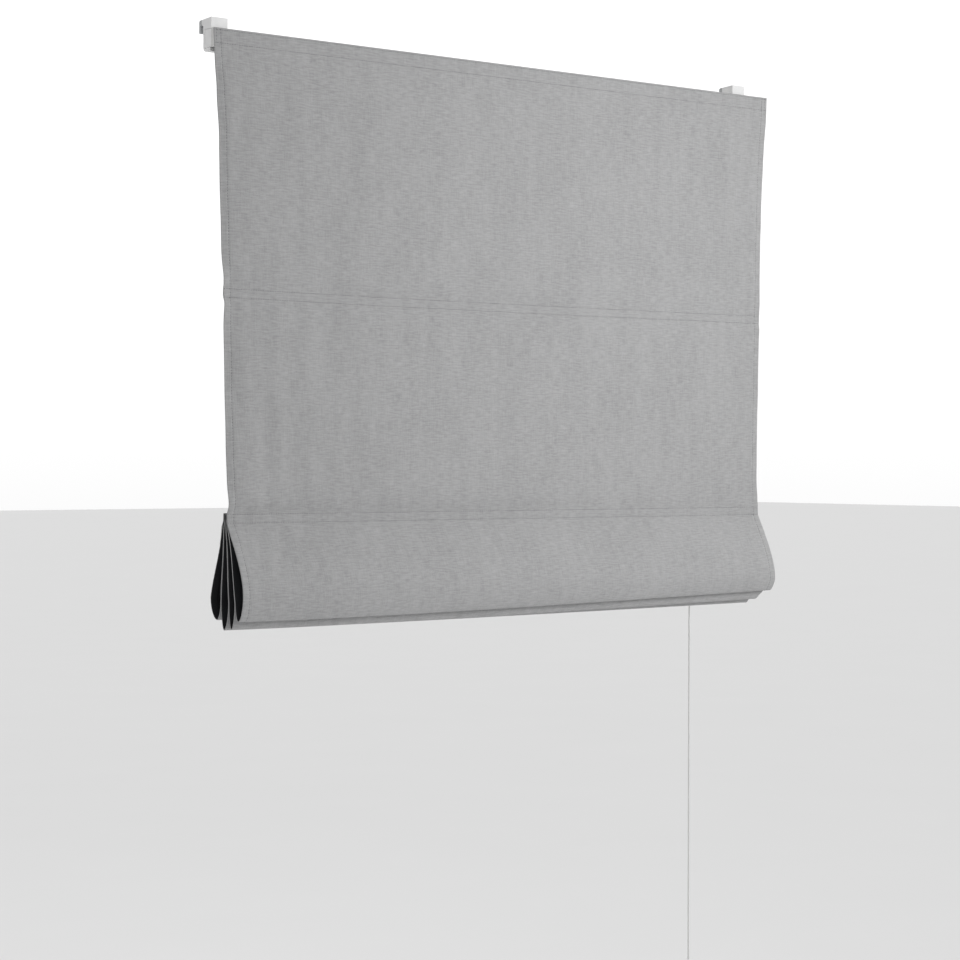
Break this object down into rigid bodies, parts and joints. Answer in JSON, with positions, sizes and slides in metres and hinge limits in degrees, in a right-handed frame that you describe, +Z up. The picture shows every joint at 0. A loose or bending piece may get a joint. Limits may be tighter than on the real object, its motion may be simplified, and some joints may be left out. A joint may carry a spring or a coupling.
{
  "type": "roman blind",
  "caption": "Half-raised roman blind: grey blackout cloth with sewn lath pockets and gathered folds, a slim head rail in two sash clamp brackets, lift cords, a cord lock and a pull tassel.",
  "frame": {"origin": "inner corner of the left bracket's hook: the middle of the bracket's width, at the sash's front face and top edge", "axes": "+X along the head rail to the right, +Y from the room towards the window, +Z up"},
  "size_m": [0.8, 0.0594, 1.1782],
  "materials": {
    "blackout_fabric": "grey linen-look weave with a matt black backing",
    "hook_and_loop": "white hook and loop tape",
    "white_rail": "white powder coat",
    "white_plastic": "white moulded plastic, half gloss",
    "jaw_plastic": "light grey moulded plastic",
    "steel": "zinc plated",
    "lath_plastic": "white glass-fibre flat lath",
    "bar_metal": "white painted flat bar",
    "clear_plastic": "milky moulded ring",
    "white_cord": "white braided cord",
    "tassel_plastic": "white moulded plastic"
  },
  "bodies": {
    "headrail": {"head_rail": "white_rail", "rail_end_cap_left": "white_plastic", "rail_end_cap_right": "white_plastic", "hook_tape": "hook_and_loop", "loop_tape": "hook_and_loop", "cloth_upper": "blackout_fabric", "cord_guide_left": "white_plastic", "cord_guide_right": "white_plastic", "lift_cord_left": "white_cord", "lift_cord_right": "white_cord", "cord_lock_housing": "white_plastic", "lock_pins": "steel", "pull_strand_left": "white_cord", "pull_strand_right": "white_cord"},
    "lift": {"cloth_folds": "blackout_fabric", "pocket_lath_2": "lath_plastic", "pocket_lath_3": "lath_plastic", "pocket_lath_4": "lath_plastic", "pocket_lath_5": "lath_plastic", "bottom_bar": "bar_metal", "rings_lower": "clear_plastic", "cord_stop_knots": "white_cord"},
    "lath_1": {"pocket_lath_1": "lath_plastic", "rings_upper": "clear_plastic"},
    "tassel": {"tassel": "tassel_plastic", "tassel_knot": "white_cord"},
    "pulley": {"lock_pulley": "white_plastic"},
    "pawl": {"lock_pawl": "white_plastic"},
    "bracket_left": {"bracket_body_left": "white_plastic"},
    "jaw_left": {"bracket_jaw_left": "jaw_plastic"},
    "screw_left": {"jaw_lock_screw_left": "steel"},
    "bracket_right": {"bracket_body_right": "white_plastic"},
    "jaw_right": {"bracket_jaw_right": "jaw_plastic"},
    "screw_right": {"jaw_lock_screw_right": "steel"}
  },
  "joints": [
    {"name": "raise_blind", "type": "slide", "parent": "headrail", "child": "lift", "axis": [0, 0, 1], "range_m": [0, 0.234], "deforming": ["cloth_upper", "lift_cord_left", "lift_cord_right"]},
    {"name": "raise_lath_1", "type": "slide", "parent": "headrail", "child": "lath_1", "axis": [0, 0, 1], "range_m": [0, 0.117]},
    {"name": "pull_cord", "type": "slide", "parent": "headrail", "child": "tassel", "axis": [0, 0, 1], "range_m": [-0.234, 0], "deforming": ["pull_strand_left", "pull_strand_right"]},
    {"name": "turn_pulley", "type": "hinge", "parent": "headrail", "child": "pulley", "pos_m": [0.6775, -0.0094, -0.0175], "axis": [0, 1, 0], "range_deg": [0, 3840]},
    {"name": "tilt_pawl", "type": "hinge", "parent": "headrail", "child": "pawl", "pos_m": [0.6865, -0.0094, -0.02], "axis": [0, 1, 0], "range_deg": [0, 35]},
    {"name": "slide_bracket_left", "type": "slide", "parent": "headrail", "child": "bracket_left", "axis": [1, 0, 0], "range_m": [0, 0.09]},
    {"name": "slide_jaw_left", "type": "slide", "parent": "bracket_left", "child": "jaw_left", "axis": [0, 1, 0], "range_m": [0, 0.01]},
    {"name": "turn_screw_left", "type": "hinge", "parent": "bracket_left", "child": "screw_left", "pos_m": [0, -0.005, 0.005], "axis": [0, 0, 1], "range_deg": [-360, 0]},
    {"name": "slide_bracket_right", "type": "slide", "parent": "headrail", "child": "bracket_right", "axis": [1, 0, 0], "range_m": [-0.04, 0.034]},
    {"name": "slide_jaw_right", "type": "slide", "parent": "bracket_right", "child": "jaw_right", "axis": [0, 1, 0], "range_m": [0, 0.01]},
    {"name": "turn_screw_right", "type": "hinge", "parent": "bracket_right", "child": "screw_right", "pos_m": [0.746, -0.005, 0.005], "axis": [0, 0, 1], "range_deg": [-360, 0]}
  ],
  "couplings": [
    {"joint": "raise_lath_1", "follows": "raise_blind", "ratio": 0.5},
    {"joint": "pull_cord", "follows": "raise_blind", "ratio": -1},
    {"joint": "turn_pulley", "follows": "raise_blind", "rad_per_m": 285.71}
  ]
}
